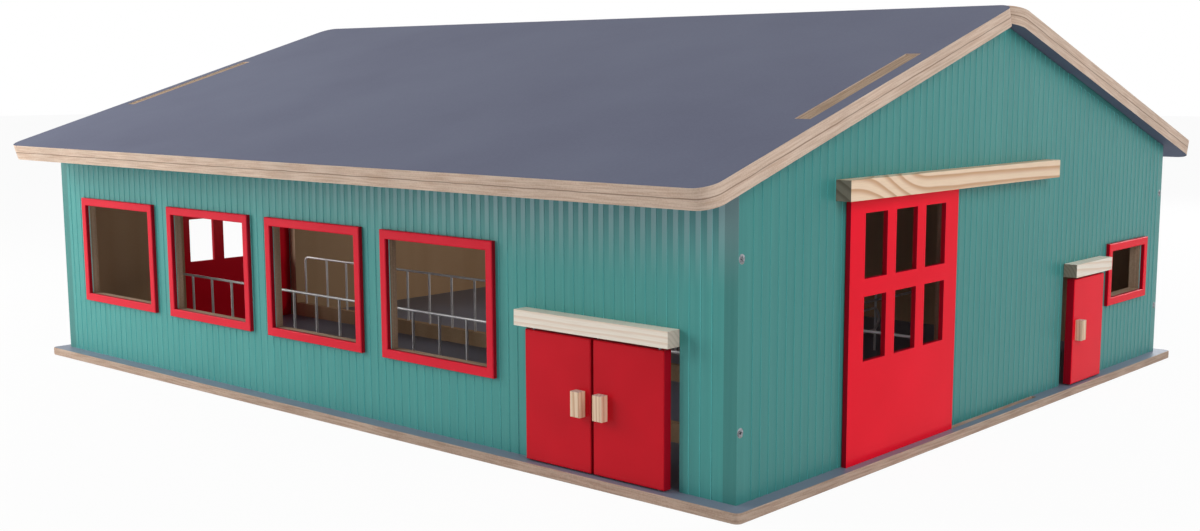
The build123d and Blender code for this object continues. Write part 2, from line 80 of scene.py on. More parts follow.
def add(tree, kind, inputs=None, out=0, **settings):
    """Adds a shader node with its settings and links, and gives back the output asked for."""
    made = tree.nodes.new("ShaderNode" + kind)
    for name, value in settings.items():
        setattr(made, name, value)
    for key, value in (inputs or {}).items():
        if isinstance(value, bpy.types.NodeSocket):
            tree.links.new(value, made.inputs[key])
        else:
            made.inputs[key].default_value = value
    return made.outputs if out is None else made.outputs[out]


def new_finish(name):
    """A finish's empty tree, with the place in millimetres and the facing of a piece at rest."""
    material = bpy.data.materials.new(name)
    material.use_nodes = True
    tree = material.node_tree
    tree.nodes.clear()
    place = add(tree, "TexCoord", out=None)
    mm = add(tree, "VectorMath", {0: place["Object"], "Scale": 1000.0}, operation="SCALE")
    return material, tree, mm, place["Normal"]


def coat_surface(tree, colour, roughness, relief, relief_mm, constants):
    """The outer surface: colour, roughness, a relief from 0 to 1 and fixed shader values."""
    bumps = add(tree, "Bump", {"Strength": 1.0, "Distance": relief_mm / 1000, "Height": relief})
    surface = add(tree, "BsdfPrincipled",
                  {"Base Color": colour, "Roughness": roughness, "Normal": bumps, **constants})
    add(tree, "OutputMaterial", {"Surface": surface}, out=None)


def squareness(tree, facing, axis):
    """How squarely a surface faces along an axis, either way: 1 is straight on."""
    either_way = add(tree, "VectorMath", {0: facing}, operation="ABSOLUTE")
    return add(tree, "SeparateXYZ", {0: either_way}, out=axis)


def bare_fibreboard(tree, mm, through, pale, dark):
    """Uncoated fibreboard: felted fibres, and thin pressed layers that follow the board.

    through is the distance through the board's thickness. Real fibres are a tenth of the size:
    they are drawn 0.9 mm coarse so that they show. The layers are 26 mm long and 1.1 mm thick.
    """
    fibres = add(tree, "TexNoise", {"Vector": mm, "Scale": 1 / 0.9, "Detail": 3.0, "Roughness": 0.65})
    x, y, _ = add(tree, "SeparateXYZ", {0: mm}, out=None)
    along = add(tree, "Math", {0: x, 1: y}, operation="ADD")
    layer_place = add(tree, "CombineXYZ",
                      {0: add(tree, "Math", {0: along, 1: 1 / 26.0}, operation="MULTIPLY"),
                       1: add(tree, "Math", {0: through, 1: 1 / 1.1}, operation="MULTIPLY")})
    layers = add(tree, "TexNoise", {"Vector": layer_place, "Scale": 1.0, "Detail": 2.0})
    mixed = add(tree, "Mix", {0: 0.35, 2: layers, 3: fibres}, data_type="FLOAT")
    share = add(tree, "MapRange", {"Value": mixed, "From Min": 0.38, "From Max": 0.64},
                interpolation_type="SMOOTHSTEP")
    colour = add(tree, "Mix", {0: share, 6: linear(pale), 7: linear(dark)}, out=2, data_type="RGBA")
    # slow changes of tone, 40 mm across
    clouds = add(tree, "TexNoise", {"Vector": mm, "Scale": 1 / 40.0, "Detail": 2.0})
    tone = add(tree, "MapRange", {"Value": clouds, "From Min": 0.3, "From Max": 0.7, "To Min": 0.92,
                                  "To Max": 1.06})
    return add(tree, "VectorMath", {0: colour, "Scale": tone}, operation="SCALE"), fibres


# ---------------------------------------------------------------- the walls' finish


def flute_steps(tree, mm, facing, on_gable, off_gable, gable_end):
    """1 on the steps between ridges and flutes, which don't face the way of their board."""
    side = add(tree, "SeparateXYZ", {0: add(tree, "VectorMath", {0: mm}, operation="SIGN")}, out=None)
    board_facing = add(tree, "CombineXYZ",
                       {0: add(tree, "Math", {0: side[0], 1: on_gable}, operation="MULTIPLY"),
                        1: add(tree, "Math", {0: side[1], 1: off_gable}, operation="MULTIPLY")})
    flatness = add(tree, "VectorMath", {0: facing, 1: board_facing}, out=1, operation="DOT_PRODUCT")
    steep = add(tree, "MapRange", {"Value": flatness, "From Min": 0.2, "From Max": 0.8, "To Min": 1.0,
                                   "To Max": 0.0})
    off_end = add(tree, "Math", {0: 1.0, 1: gable_end}, operation="SUBTRACT")
    return add(tree, "Math", {0: steep, 1: off_end}, operation="MULTIPLY")


def painted_sheen(tree, mm, height, off_gable, gable_end):
    """How much painted sheen the walls get, from 0 to 1: most under the eaves, to the right."""
    under_eave = add(tree, "MapRange", {"Value": height, "From Min": SHEEN_HEIGHTS[0],
                                        "From Max": SHEEN_HEIGHTS[1]}, interpolation_type="SMOOTHSTEP")
    along_wall = add(tree, "SeparateXYZ", {0: mm})
    rightward = add(tree, "MapRange", {"Value": along_wall, "From Min": SHEEN_PLACES[0],
                                       "From Max": SHEEN_PLACES[1], "To Min": 0.12, "To Max": 1.0})
    sheen = add(tree, "Math", {0: under_eave, 1: rightward}, operation="MULTIPLY")
    where = add(tree, "Math", {0: off_gable, 1: gable_end}, operation="MAXIMUM")
    return add(tree, "Math", {0: sheen, 1: where}, operation="MULTIPLY")


def green_paint(tree, mm, ridge, step, sheen, on_gable, gable_end):
    """The green, with streaks and clouds, greyer with painted sheen and paler on the flutes' steps."""
    # streaks 3 mm wide and 110 mm long where the paint ran along the flutes, clouds 130 mm across
    streak_place = add(tree, "VectorMath", {0: mm, 1: (1 / 3.0, 1 / 3.0, 1 / 110.0)},
                       operation="MULTIPLY")
    streaks = add(tree, "TexNoise", {"Vector": streak_place, "Scale": 1.0, "Detail": 3.0})
    clouds = add(tree, "TexNoise", {"Vector": mm, "Scale": 1 / 130.0, "Detail": 1.0})
    streak_share = add(tree, "MapRange", {"Value": streaks, "From Min": 0.3, "From Max": 0.7})
    cloud_share = add(tree, "MapRange", {"Value": clouds, "From Min": 0.3, "From Max": 0.7,
                                         "To Max": 0.4})
    green = add(tree, "Mix", {0: streak_share, 6: linear("#469A96"), 7: linear("#50A49F")}, out=2,
                data_type="RGBA")
    green = add(tree, "Mix", {0: cloud_share, 6: green, 7: linear("#3F908D")}, out=2,
                data_type="RGBA")
    # painted sheen: a pale grey painted highlight on the ridges, where they catch the light, and mid
    # grey in the flutes
    ridge_sheen_share = add(tree, "Math", {0: sheen, 1: 0.92}, operation="MULTIPLY")
    sheened_ridge_green = add(tree, "Mix", {0: ridge_sheen_share, 6: green, 7: linear("#C2D6DE")}, out=2,
                      data_type="RGBA")
    flute_sheen_share = add(tree, "MapRange", {"Value": sheen, "To Min": 0.03, "To Max": 0.72})
    sheened_flute_green = add(tree, "Mix", {0: flute_sheen_share, 6: green, 7: linear("#7397A0")}, out=2,
                      data_type="RGBA")
    green = add(tree, "Mix", {0: ridge, 6: sheened_flute_green, 7: sheened_ridge_green}, out=2, data_type="RGBA")
    # the steps get little light, so away from the painted sheen their paint is drawn paler, a painted
    # light, up to a clean pale green
    off_sheen = add(tree, "MapRange", {"Value": sheen, "To Min": 1.0, "From Max": 0.7, "To Max": 0.0})
    off_sheen_step = add(tree, "Math", {0: step, 1: off_sheen}, operation="MULTIPLY")
    step_painted_light = add(tree, "MapRange", {"Value": off_sheen_step, "To Min": 1.0, "To Max": 4.0})
    green = add(tree, "VectorMath", {0: green, "Scale": step_painted_light}, operation="SCALE")
    green = add(tree, "VectorMath", {0: green, 1: linear("#CBF3F3")[:3]}, operation="MINIMUM")
    # the gables are drawn deeper in tone, a painted shade for their face, and their ends a little
    # deeper still
    gable_painted_shade = add(tree, "MapRange", {"Value": on_gable, "To Min": 1.0, "To Max": 0.78})
    green = add(tree, "VectorMath", {0: green, "Scale": gable_painted_shade}, operation="SCALE")
    end_green = add(tree, "Mix", {0: 0.2, 6: green, 7: linear("#306C69")}, out=2, data_type="RGBA")
    return add(tree, "Mix", {0: gable_end, 6: green, 7: end_green}, out=2, data_type="RGBA")


def wall_finish():
    """Satin acrylic paint, sprayed on fluted fibreboard and left off the inside.

    It gives the eye a soft blue-green whose ridges shine a little more than the flutes between
    them, a pale grey painted sheen under the eaves, pebbly painted ends on the gables, and
    warm brown board inside and in every cut edge.
    """
    material, tree, mm, facing = new_finish("satin_green_paint_on_fluted_mdf")
    x, y, height = add(tree, "SeparateXYZ",
                       {0: add(tree, "VectorMath", {0: mm}, operation="ABSOLUTE")}, out=None)
    past_gable = add(tree, "Math", {0: x, 1: GABLE_X}, operation="SUBTRACT")
    past_wall = add(tree, "Math", {0: y, 1: WALL_Y}, operation="SUBTRACT")
    proud = add(tree, "Math", {0: past_gable, 1: past_wall}, operation="MAXIMUM")
    skin = add(tree, "Math", {0: proud, 1: -FLUTE_DEPTH - PAINT_CREEP}, operation="GREATER_THAN")
    off_top = add(tree, "Math", {0: add(tree, "SeparateXYZ", {0: facing}, out=Z_AXIS), 1: 0.5},
                  operation="LESS_THAN")
    painted = add(tree, "Math", {0: skin, 1: off_top}, operation="MULTIPLY")
    ridge = add(tree, "MapRange", {"Value": proud, "From Min": FLUTE_WALL[0],
                                   "From Max": FLUTE_WALL[1]})
    # margins of 0.05 to 0.2 mm keep the borders between zones off the boards' own faces
    on_gable = add(tree, "Math", {0: past_gable, 1: 0.05 - GABLE_THICKNESS}, operation="GREATER_THAN")
    off_gable = add(tree, "Math", {0: 1.0, 1: on_gable}, operation="SUBTRACT")
    at_end = add(tree, "Math", {0: past_wall, 1: -0.2}, operation="GREATER_THAN")
    gable_end = add(tree, "Math", {0: on_gable, 1: at_end}, operation="MULTIPLY")
    step = flute_steps(tree, mm, facing, on_gable, off_gable, gable_end)
    # painted sheen: a pale grey under the eaves of the long walls, strongest to the right
    sheen = painted_sheen(tree, mm, height, off_gable, gable_end)
    green = green_paint(tree, mm, ridge, step, sheen, on_gable, gable_end)

    bare, fibres = bare_fibreboard(tree, mm, proud, "#B9A089", "#9D836B")
    inside_gable = add(tree, "Math", {0: past_gable, 1: 0.1 - GABLE_THICKNESS}, operation="LESS_THAN")
    inside_wall = add(tree, "Math", {0: past_wall, 1: 0.1 - LONG_WALL_THICKNESS},
                      operation="LESS_THAN")
    inside = add(tree, "Math", {0: inside_gable, 1: inside_wall}, operation="MULTIPLY")
    # the inside faces are drawn lighter than the cut edges, a painted light for the dim inside
    inner_with_painted_light = add(tree, "Mix", {0: 0.7, 6: bare, 7: linear("#C4A27E")}, out=2, data_type="RGBA")
    bare = add(tree, "Mix", {0: inside, 6: bare, 7: inner_with_painted_light}, out=2, data_type="RGBA")
    colour = add(tree, "Mix", {0: painted, 6: bare, 7: green}, out=2, data_type="RGBA")

    paint_roughness = add(tree, "MapRange", {"Value": ridge, "To Min": 0.42, "To Max": 0.36})
    roughness = add(tree, "Mix", {0: painted, 2: 0.85, 3: paint_roughness}, data_type="FLOAT")
    # orange peel of the spray at 1.2 mm, and the swollen fibres of a painted cut end at 1.5 mm
    peel = add(tree, "TexNoise", {"Vector": mm, "Scale": 1 / 1.2, "Detail": 2.0})
    pebbles = add(tree, "TexNoise", {"Vector": mm, "Scale": 1 / 1.5, "Detail": 4.0, "Roughness": 0.7})
    soft_peel = add(tree, "Math", {0: peel, 1: 0.3}, operation="MULTIPLY")
    paint_relief = add(tree, "Mix", {0: gable_end, 2: soft_peel, 3: pebbles}, data_type="FLOAT")
    relief = add(tree, "Mix", {0: painted, 2: fibres, 3: paint_relief}, data_type="FLOAT")
    coat_surface(tree, colour, roughness, relief, 0.12, {"Specular IOR Level": 0.28})
    return material


# ---------------------------------------------------------------- the roof's and base's finish


def through_roof(tree, mm):
    """Distance up through a roof board, square to its slope, on either side of the ridge."""
    slope_up = (0.0, math.sin(ROOF_PITCH), math.cos(ROOF_PITCH))
    mirrored = add(tree, "VectorMath", {0: mm}, operation="ABSOLUTE")
    height = add(tree, "VectorMath", {0: mirrored, 1: slope_up}, out=1, operation="DOT_PRODUCT")
    return add(tree, "Math", {0: height, 1: ROOF_SEAT}, operation="SUBTRACT")


def through_base(tree, mm):
    """Distance up through the base board."""
    return add(tree, "SeparateXYZ", {0: mm}, out=Z_AXIS)


def glued_joint(tree, mm, through):
    """The thin line between the roof's two plies, wavering by half a millimetre over 20 mm."""
    waver = add(tree, "TexNoise", {"Vector": mm, "Scale": 1 / 20.0, "Detail": 2.0})
    shifted = add(tree, "Math", {0: waver, 1: through}, operation="ADD")
    off_line = add(tree, "Math", {0: shifted, 1: ROOF_PLY + 0.5}, operation="SUBTRACT")
    distance = add(tree, "Math", {0: off_line}, operation="ABSOLUTE")
    return add(tree, "MapRange", {"Value": distance, "From Min": 0.12, "From Max": 0.5, "To Min": 0.7,
                                  "To Max": 0.0})


def board_finish(name, paints, edges, roughness, specular, through_board, has_plies):
    """Satin paint on the faces of a fibreboard, rolled on before it was cut.

    It gives the eye an even blue-grey sheet with slow clouds of tone, between pale pinkish-tan
    edges. On the roof the two glued plies show as a thin dark wavering line along the edge.
    """
    material, tree, mm, facing = new_finish(name)
    painted = add(tree, "Math", {0: squareness(tree, facing, Z_AXIS), 1: 0.8}, operation="GREATER_THAN")
    # clouds of tone 90 mm across, and a roller's stipple of 1.6 mm
    clouds = add(tree, "TexNoise", {"Vector": mm, "Scale": 1 / 90.0, "Detail": 3.0})
    stipple = add(tree, "TexNoise", {"Vector": mm, "Scale": 1 / 1.6, "Detail": 3.0, "Roughness": 0.6})
    cloud_share = add(tree, "MapRange", {"Value": clouds, "From Min": 0.3, "From Max": 0.72})
    stipple_share = add(tree, "MapRange", {"Value": stipple, "From Min": 0.35, "From Max": 0.75,
                                           "To Max": 0.1})
    paint = add(tree, "Mix", {0: cloud_share, 6: linear(paints[0]), 7: linear(paints[1])}, out=2,
                data_type="RGBA")
    paint = add(tree, "Mix", {0: stipple_share, 6: paint, 7: linear("#8A8E9A")}, out=2,
                data_type="RGBA")
    through = through_board(tree, mm)
    bare, fibres = bare_fibreboard(tree, mm, through, *edges)
    if has_plies:
        bare = add(tree, "Mix", {0: glued_joint(tree, mm, through), 6: bare, 7: linear("#745A4A")},
                   out=2, data_type="RGBA")
    colour = add(tree, "Mix", {0: painted, 6: bare, 7: paint}, out=2, data_type="RGBA")
    rough = add(tree, "Mix", {0: painted, 2: 0.85, 3: roughness}, data_type="FLOAT")
    soft_stipple = add(tree, "Math", {0: stipple, 1: 0.4}, operation="MULTIPLY")
    relief = add(tree, "Mix", {0: painted, 2: fibres, 3: soft_stipple}, data_type="FLOAT")
    coat_surface(tree, colour, rough, relief, 0.07, {"Specular IOR Level": specular})
    return material


# ---------------------------------------------------------------- the frames' and doors' finish


def red_finish(name, face_axis, face_reds, specular):
    """Gloss lacquer, sprayed on fibreboard frames and doors.

    It gives the eye a deep clean red with soft highlights, and a duller red on the cut sides,
    where the board drank the lacquer, drawn darker as painted shade. face_axis is square to the
    frame's or door's face.
    """
    material, tree, mm, facing = new_finish(name)
    cut = add(tree, "Math", {0: squareness(tree, facing, face_axis), 1: 0.4}, operation="LESS_THAN")
    # orange peel at 2.4 mm, slow changes of tone over 60 mm, board fibres drawn at 0.8 mm, which
    # is coarser than they are, so that they show
    peel = add(tree, "TexNoise", {"Vector": mm, "Scale": 1 / 2.4, "Detail": 2.0, "Roughness": 0.45})
    clouds = add(tree, "TexNoise", {"Vector": mm, "Scale": 1 / 60.0, "Detail": 2.0})
    fibres = add(tree, "TexNoise", {"Vector": mm, "Scale": 1 / 0.8, "Detail": 3.0, "Roughness": 0.6})
    cloud_share = add(tree, "MapRange", {"Value": clouds, "From Min": 0.3, "From Max": 0.7})
    face_red = add(tree, "Mix", {0: cloud_share, 6: linear(face_reds[0]), 7: linear(face_reds[1])},
                   out=2, data_type="RGBA")
    # the cut sides' red is drawn darker, a painted shade
    shaded_cut_red = add(tree, "Mix", {0: fibres, 6: linear("#A00A1E"), 7: linear("#B50E26")}, out=2,
                  data_type="RGBA")
    colour = add(tree, "Mix", {0: cut, 6: face_red, 7: shaded_cut_red}, out=2, data_type="RGBA")
    roughness = add(tree, "MapRange", {"Value": cut, "To Min": 0.25, "To Max": 0.45})
    soft_peel = add(tree, "Math", {0: peel, 1: 0.5}, operation="MULTIPLY")
    relief = add(tree, "Mix", {0: cut, 2: soft_peel, 3: fibres}, data_type="FLOAT")
    coat_surface(tree, colour, roughness, relief, 0.04, {"Specular IOR Level": specular})
    return material


# ---------------------------------------------------------------- the bare wood's finish


def growth_lines(tree, mm, grain_axis, pith, lean, arch, ring_mm):
    """The dark late wood of each growth ring, from 0 to 1, ring_mm apart.

    The rings lie round the tree's pith, given in millimetres from the frame's origin across the
    grain. lean draws them out into long arches, and arch shifts them near one end of the piece.
    """
    axes = add(tree, "SeparateXYZ", {0: mm}, out=None)
    along = axes[grain_axis]
    first, second = [axes[i] for i in range(3) if i != grain_axis]
    first = add(tree, "Math", {0: first}, operation="ABSOLUTE")
    leaning = [add(tree, "Math", {0: along, 1: slope}, operation="MULTIPLY") for slope in lean]
    across = add(tree, "Math", {0: add(tree, "Math", {0: first, 1: leaning[0]}, operation="ADD"),
                                1: pith[0]}, operation="SUBTRACT")
    up = add(tree, "Math", {0: add(tree, "Math", {0: second, 1: leaning[1]}, operation="ADD"),
                            1: pith[1]}, operation="SUBTRACT")
    radius = add(tree, "VectorMath", {0: add(tree, "CombineXYZ", {0: across, 1: up})}, out=1,
                 operation="LENGTH")
    arch_start, arch_length, arch_rise = arch
    arched = add(tree, "MapRange", {"Value": along, "From Min": arch_start,
                                    "From Max": arch_start + arch_length, "To Min": arch_rise,
                                    "To Max": 0.0}, interpolation_type="SMOOTHERSTEP")
    radius = add(tree, "Math", {0: radius, 1: arched}, operation="ADD")
    # the trunk's own crookedness: 14 mm across the grain, 120 mm along it, and up to 3.5 mm
    stretch = [1 / 14.0] * 3
    stretch[grain_axis] = 1 / 120.0
    sway_place = add(tree, "VectorMath", {0: mm, 1: tuple(stretch)}, operation="MULTIPLY")
    sway = add(tree, "TexNoise", {"Vector": sway_place, "Scale": 1.0, "Detail": 2.0})
    swayed = add(tree, "Math", {0: sway, 1: 3.5, 2: radius}, operation="MULTIPLY_ADD")
    ring = add(tree, "Math", {0: add(tree, "Math", {0: swayed, 1: ring_mm}, operation="DIVIDE")},
               operation="FRACT")
    rise = add(tree, "MapRange", {"Value": ring, "From Min": 0.35, "From Max": 0.88},
               interpolation_type="SMOOTHSTEP")
    fall = add(tree, "MapRange", {"Value": ring, "From Min": 0.9, "From Max": 1.0, "To Min": 1.0,
                                  "To Max": 0.0})
    return add(tree, "Math", {0: rise, 1: fall}, operation="MULTIPLY")


def wood_pores(tree, mm, grain_axis):
    """Pores drawn 0.5 mm wide, several times their real width so that they show, 18 mm long."""
    stretch = [1 / 0.5] * 3
    stretch[grain_axis] = 1 / 18.0
    pore_place = add(tree, "VectorMath", {0: mm, 1: tuple(stretch)}, operation="MULTIPLY")
    return add(tree, "TexNoise", {"Vector": pore_place, "Scale": 1.0, "Detail": 3.0,
                                  "Roughness": 0.6})


def pine_finish(name, grain_axis, pith, lean, arch, ring_mm, ring_strength, woods, sawn_woods):
    """Planed pine, left bare.

    It gives the eye pale pinkish-cream wood with honey-coloured growth lines and fine pores, and
    sawn ends that are greyer and darker.
    """
    material, tree, mm, facing = new_finish(name)
    late_wood = growth_lines(tree, mm, grain_axis, pith, lean, arch, ring_mm)
    pores = wood_pores(tree, mm, grain_axis)
    pore_share = add(tree, "MapRange", {"Value": pores, "From Min": 0.45, "From Max": 0.78,
                                        "To Max": 0.3})
    line_share = add(tree, "Math", {0: late_wood, 1: ring_strength}, operation="MULTIPLY")
    wood = add(tree, "Mix", {0: line_share, 6: linear(woods[0]), 7: linear(woods[1])}, out=2,
               data_type="RGBA")
    wood = add(tree, "Mix", {0: pore_share, 6: wood, 7: linear("#CDB193")}, out=2, data_type="RGBA")
    end_wood = add(tree, "Mix", {0: line_share, 6: linear(sawn_woods[0]), 7: linear(sawn_woods[1])},
                   out=2, data_type="RGBA")
    sawn = add(tree, "Math", {0: squareness(tree, facing, grain_axis), 1: 0.7},
               operation="GREATER_THAN")
    colour = add(tree, "Mix", {0: sawn, 6: wood, 7: end_wood}, out=2, data_type="RGBA")
    roughness = add(tree, "MapRange", {"Value": sawn, "To Min": 0.55, "To Max": 0.85})
    relief = add(tree, "Mix", {0: 0.6, 2: late_wood, 3: pores}, data_type="FLOAT")
    coat_surface(tree, colour, roughness, relief, 0.06, {"Specular IOR Level": 0.35})
    return material


def kerb_finish():
    """Sawn fibreboard strip, left bare: an even warm tan with fine felted fibres."""
    material, tree, mm, _ = new_finish("bare_mdf_strip")
    through = add(tree, "SeparateXYZ", {0: mm}, out=Y_AXIS)
    colour, fibres = bare_fibreboard(tree, mm, through, "#C9AA88", "#AF8F6E")
    coat_surface(tree, colour, 0.85, fibres, 0.06, {"Specular IOR Level": 0.3})
    return material


# ---------------------------------------------------------------- the steel's finishes


def wire_finish():
    """Drawn steel wire with a bright zinc plate, which gives the eye a silvery, cloudy white."""
    material, tree, mm, _ = new_finish("zinc_plated_wire")
    # clouds of tarnish 6 mm across
    clouds = add(tree, "TexNoise", {"Vector": mm, "Scale": 1 / 6.0, "Detail": 3.0})
    cloud_share = add(tree, "MapRange", {"Value": clouds, "From Min": 0.35, "From Max": 0.7})
    colour = add(tree, "Mix", {0: cloud_share, 6: linear("#F8FAFC"), 7: linear("#E8EBEF")}, out=2,
                 data_type="RGBA")
    # drawing marks at 0.4 mm, coarser than the real ones, so that they show
    marks = add(tree, "TexNoise", {"Vector": mm, "Scale": 1 / 0.4, "Detail": 2.0, "Roughness": 0.7})
    roughness = add(tree, "MapRange", {"Value": clouds, "From Min": 0.3, "From Max": 0.7,
                                       "To Min": 0.3, "To Max": 0.45})
    coat_surface(tree, colour, roughness, marks, 0.01, {"Metallic": 0.2})
    return material


def screw_finish():
    """Turned screw steel, bright zinc plated: silver heads with a cloudy, slightly grained skin."""
    material, tree, mm, _ = new_finish("zinc_plated_screw_steel")
    # the plate's clouds, 1.5 mm across
    clouds = add(tree, "TexNoise", {"Vector": mm, "Scale": 1 / 1.5, "Detail": 3.0})
    cloud_share = add(tree, "MapRange", {"Value": clouds, "From Min": 0.3, "From Max": 0.7})
    colour = add(tree, "Mix", {0: cloud_share, 6: linear("#A6A9AE"), 7: linear("#5E6166")}, out=2,
                 data_type="RGBA")
    roughness = add(tree, "MapRange", {"Value": clouds, "From Min": 0.3, "From Max": 0.7,
                                       "To Min": 0.25, "To Max": 0.42})
    coat_surface(tree, colour, roughness, clouds, 0.01, {"Metallic": 1.0})
    return material


# ---------------------------------------------------------------- the pieces' finishes

green_walls = wall_finish()
grey_roof = board_finish("satin_grey_paint_on_roof_board", paints=("#676C82", "#5F637A"),
                         edges=("#DFC9B8", "#C9AD99"), roughness=0.6, specular=0.12,
                         through_board=through_roof, has_plies=True)
grey_base = board_finish("satin_grey_paint_on_base_board", paints=("#7E869A", "#767E92"),
                         edges=("#C3AB9A", "#A88D7C"), roughness=0.4, specular=0.3,
                         through_board=through_base, has_plies=False)
frame_red = red_finish("gloss_red_lacquer_front_frames", Y_AXIS, ("#EA1E38", "#E11932"), 0.14)
leaf_red = red_finish("gloss_red_lacquer_double_door", Y_AXIS, ("#DA1227", "#C80E21"), 0.12)
gable_red = red_finish("gloss_red_lacquer_gable", X_AXIS, ("#F90C2C", "#F20A28"), 0.06)

# Pine: pale and honey-coloured growth rings, and its sawn ends: plain, and darker still as painted
# shade on the rail and the small header.
PALE_PINE = ("#FAF0E3", "#E0BC9A")
HONEY_PINE = ("#F4D9BD", "#C6946A")
FRESH_SAWN = ("#CDBCB0", "#AB9888")
SHADED_SAWN = ("#968778", "#736455")
RAIL_ARCH = (RAIL_START, 95.0, -19.0)
NO_ARCH = (0.0, 1.0, 0.0)
rail_pine = pine_finish("planed_pine_rail", grain_axis=Y_AXIS, pith=(305.0, 96.0),
                        lean=(0.01, 0.004), arch=RAIL_ARCH, ring_mm=5.6, ring_strength=0.85,
                        woods=HONEY_PINE, sawn_woods=SHADED_SAWN)
front_header_pine = pine_finish("planed_pine_double_door_header", grain_axis=X_AXIS,
                                pith=(330.0, 60.0), lean=(0.02, 0.01), arch=NO_ARCH, ring_mm=2.6,
                                ring_strength=0.4, woods=PALE_PINE, sawn_woods=FRESH_SAWN)
small_header_pine = pine_finish("planed_pine_small_door_header", grain_axis=Y_AXIS,
                                pith=(330.0, 70.0), lean=(0.03, 0.02), arch=NO_ARCH, ring_mm=2.6,
                                ring_strength=0.5, woods=PALE_PINE, sawn_woods=SHADED_SAWN)
front_handle_pine = pine_finish("planed_pine_front_handles", grain_axis=Z_AXIS,
                                pith=(240.0, -310.0), lean=(0.02, 0.01), arch=NO_ARCH, ring_mm=2.2,
                                ring_strength=0.7, woods=HONEY_PINE, sawn_woods=FRESH_SAWN)
small_handle_pine = pine_finish("planed_pine_small_handle", grain_axis=Z_AXIS,
                                pith=(340.0, 110.0), lean=(0.02, 0.01), arch=NO_ARCH, ring_mm=2.2,
                                ring_strength=0.6, woods=HONEY_PINE, sawn_woods=FRESH_SAWN)
bare_strip = kerb_finish()
zinc_wire = wire_finish()
screw_steel = screw_finish()

# Which pieces wear which finish, by how their names begin.
FINISHES = (
    (green_walls, ("front_wall", "back_wall", "gable_wall")),
    (grey_base, ("base_plate",)),
    (grey_roof, ("roof_",)),
    (screw_steel, ("double_door_left_pins", "double_door_right_pins", "small_door_pins",
                   "gable_screws", "base_screws")),
    (front_handle_pine, ("double_door_left_handle", "double_door_right_handle")),
    (small_handle_pine, ("small_door_handle",)),
    (front_header_pine, ("double_door_header",)),
    (small_header_pine, ("small_door_header",)),
    (rail_pine, ("sliding_rail",)),
    (frame_red, ("front_window_frame",)),
    (leaf_red, ("double_door",)),
    (gable_red, ("gable_window_frame", "sliding_door", "small_door")),
    (bare_strip, ("feed_kerb",)),
    (zinc_wire, ("feed_fence", "cubicle_divider")),
)
for name, piece in nodes.items():
    finish = next(finish for finish, beginnings in FINISHES if name.startswith(beginnings))
    piece.data.materials.clear()
    piece.data.materials.append(finish)


# ---------------------------------------------------------------- screws

# Sizes of one screw, in millimetres down from the top of its head.
HEAD_RADIUS = 2.8
HEAD_CHAMFER = 0.25
RIM_DEPTH = 0.15
NECK_RADIUS = 1.5
CONE_DEPTH = 1.45
NECK_DEPTH = 3.0
CORE_RADIUS = 1.1
CREST_RADIUS = 1.48
THREAD_PITCH = 1.3
TIP_LENGTH = 3.0
RECESS_TOP = (3.4, 0.8, 0.4)  # length, thickness and height of a cross blade's top
RECESS_FOOT = (0.9, 0.28, -1.5)
SIDES = 20
ROWS_A_TURN = 5


def loose_parts(mesh):
    """The lowest and highest corners of each separate solid of a mesh."""
    shape = bmesh.new()
    shape.from_mesh(mesh)
    bmesh.ops.remove_doubles(shape, verts=shape.verts, dist=1e-6)
    waiting = set(shape.verts)
    boxes = []
    while waiting:
        first = waiting.pop()
        found = [first]
        reached = [first]
        while reached:
            for link in reached.pop().link_edges:
                for vert in link.verts:
                    if vert in waiting:
                        waiting.discard(vert)
                        found.append(vert)
                        reached.append(vert)
        boxes.append((Vector(min(v.co[i] for v in found) for i in range(3)),
                      Vector(max(v.co[i] for v in found) for i in range(3))))
    shape.free()
    return sorted(boxes, key=lambda box: tuple(round(c, 5) for c in box[0]))


def screw_rows(length):
    """A screw's rows of radius and height, SIDES to a row, from its head down to its tip."""
    head = ((HEAD_RADIUS - HEAD_CHAMFER, 0.0), (HEAD_RADIUS, -RIM_DEPTH),
            (NECK_RADIUS, -CONE_DEPTH), (NECK_RADIUS, -NECK_DEPTH))
    rows = [[(radius, height)] * SIDES for radius, height in head]
    steps = int((length - NECK_DEPTH) / THREAD_PITCH * ROWS_A_TURN)
    for step in range(1, steps + 1):
        height = -NECK_DEPTH - (length - NECK_DEPTH) * step / steps
        taper = max(min(1.0, (length + height) / TIP_LENGTH), 0.05)
        row = []
        for i in range(SIDES):
            turn = ((-height / THREAD_PITCH) - i / SIDES) % 1.0
            crest = max(0.0, 1.0 - abs(turn - 0.5) * 4.0)
            row.append(((CORE_RADIUS + (CREST_RADIUS - CORE_RADIUS) * crest) * taper, height))
        rows.append(row)
    return rows


def screw_body(length):
    """The mesh of a countersunk screw with its thread, head up at the origin, in metres."""
    shape = bmesh.new()
    rings = []
    for row in screw_rows(length):
        rings.append([shape.verts.new((radius * math.cos(math.tau * i / SIDES) / 1000,
                                       radius * math.sin(math.tau * i / SIDES) / 1000, height / 1000))
                      for i, (radius, height) in enumerate(row)])
    for upper, lower in zip(rings, rings[1:]):
        for i in range(SIDES):
            j = (i + 1) % SIDES
            shape.faces.new((upper[i], lower[i], lower[j], upper[j]))
    shape.faces.new(rings[0])
    shape.faces.new(list(reversed(rings[-1])))
    bmesh.ops.recalc_face_normals(shape, faces=shape.faces)
    mesh = bpy.data.meshes.new("screw_body")
    shape.to_mesh(mesh)
    shape.free()
    return mesh


def cross_blades():
    """The mesh of the two tapering blades that cut the cross recess into a screw's head."""
    shape = bmesh.new()
    for turned in (0.0, math.pi / 2):
        for vert in bmesh.ops.create_cube(shape, size=1.0)["verts"]:
            blade_length, thickness, height = RECESS_FOOT if vert.co.z < 0 else RECESS_TOP
            place = Vector((vert.co.x * blade_length, vert.co.y * thickness, height))
            place.rotate(Matrix.Rotation(turned, 3, "Z"))
            vert.co = place / 1000
    mesh = bpy.data.meshes.new("recess")
    shape.to_mesh(mesh)
    shape.free()
    return mesh


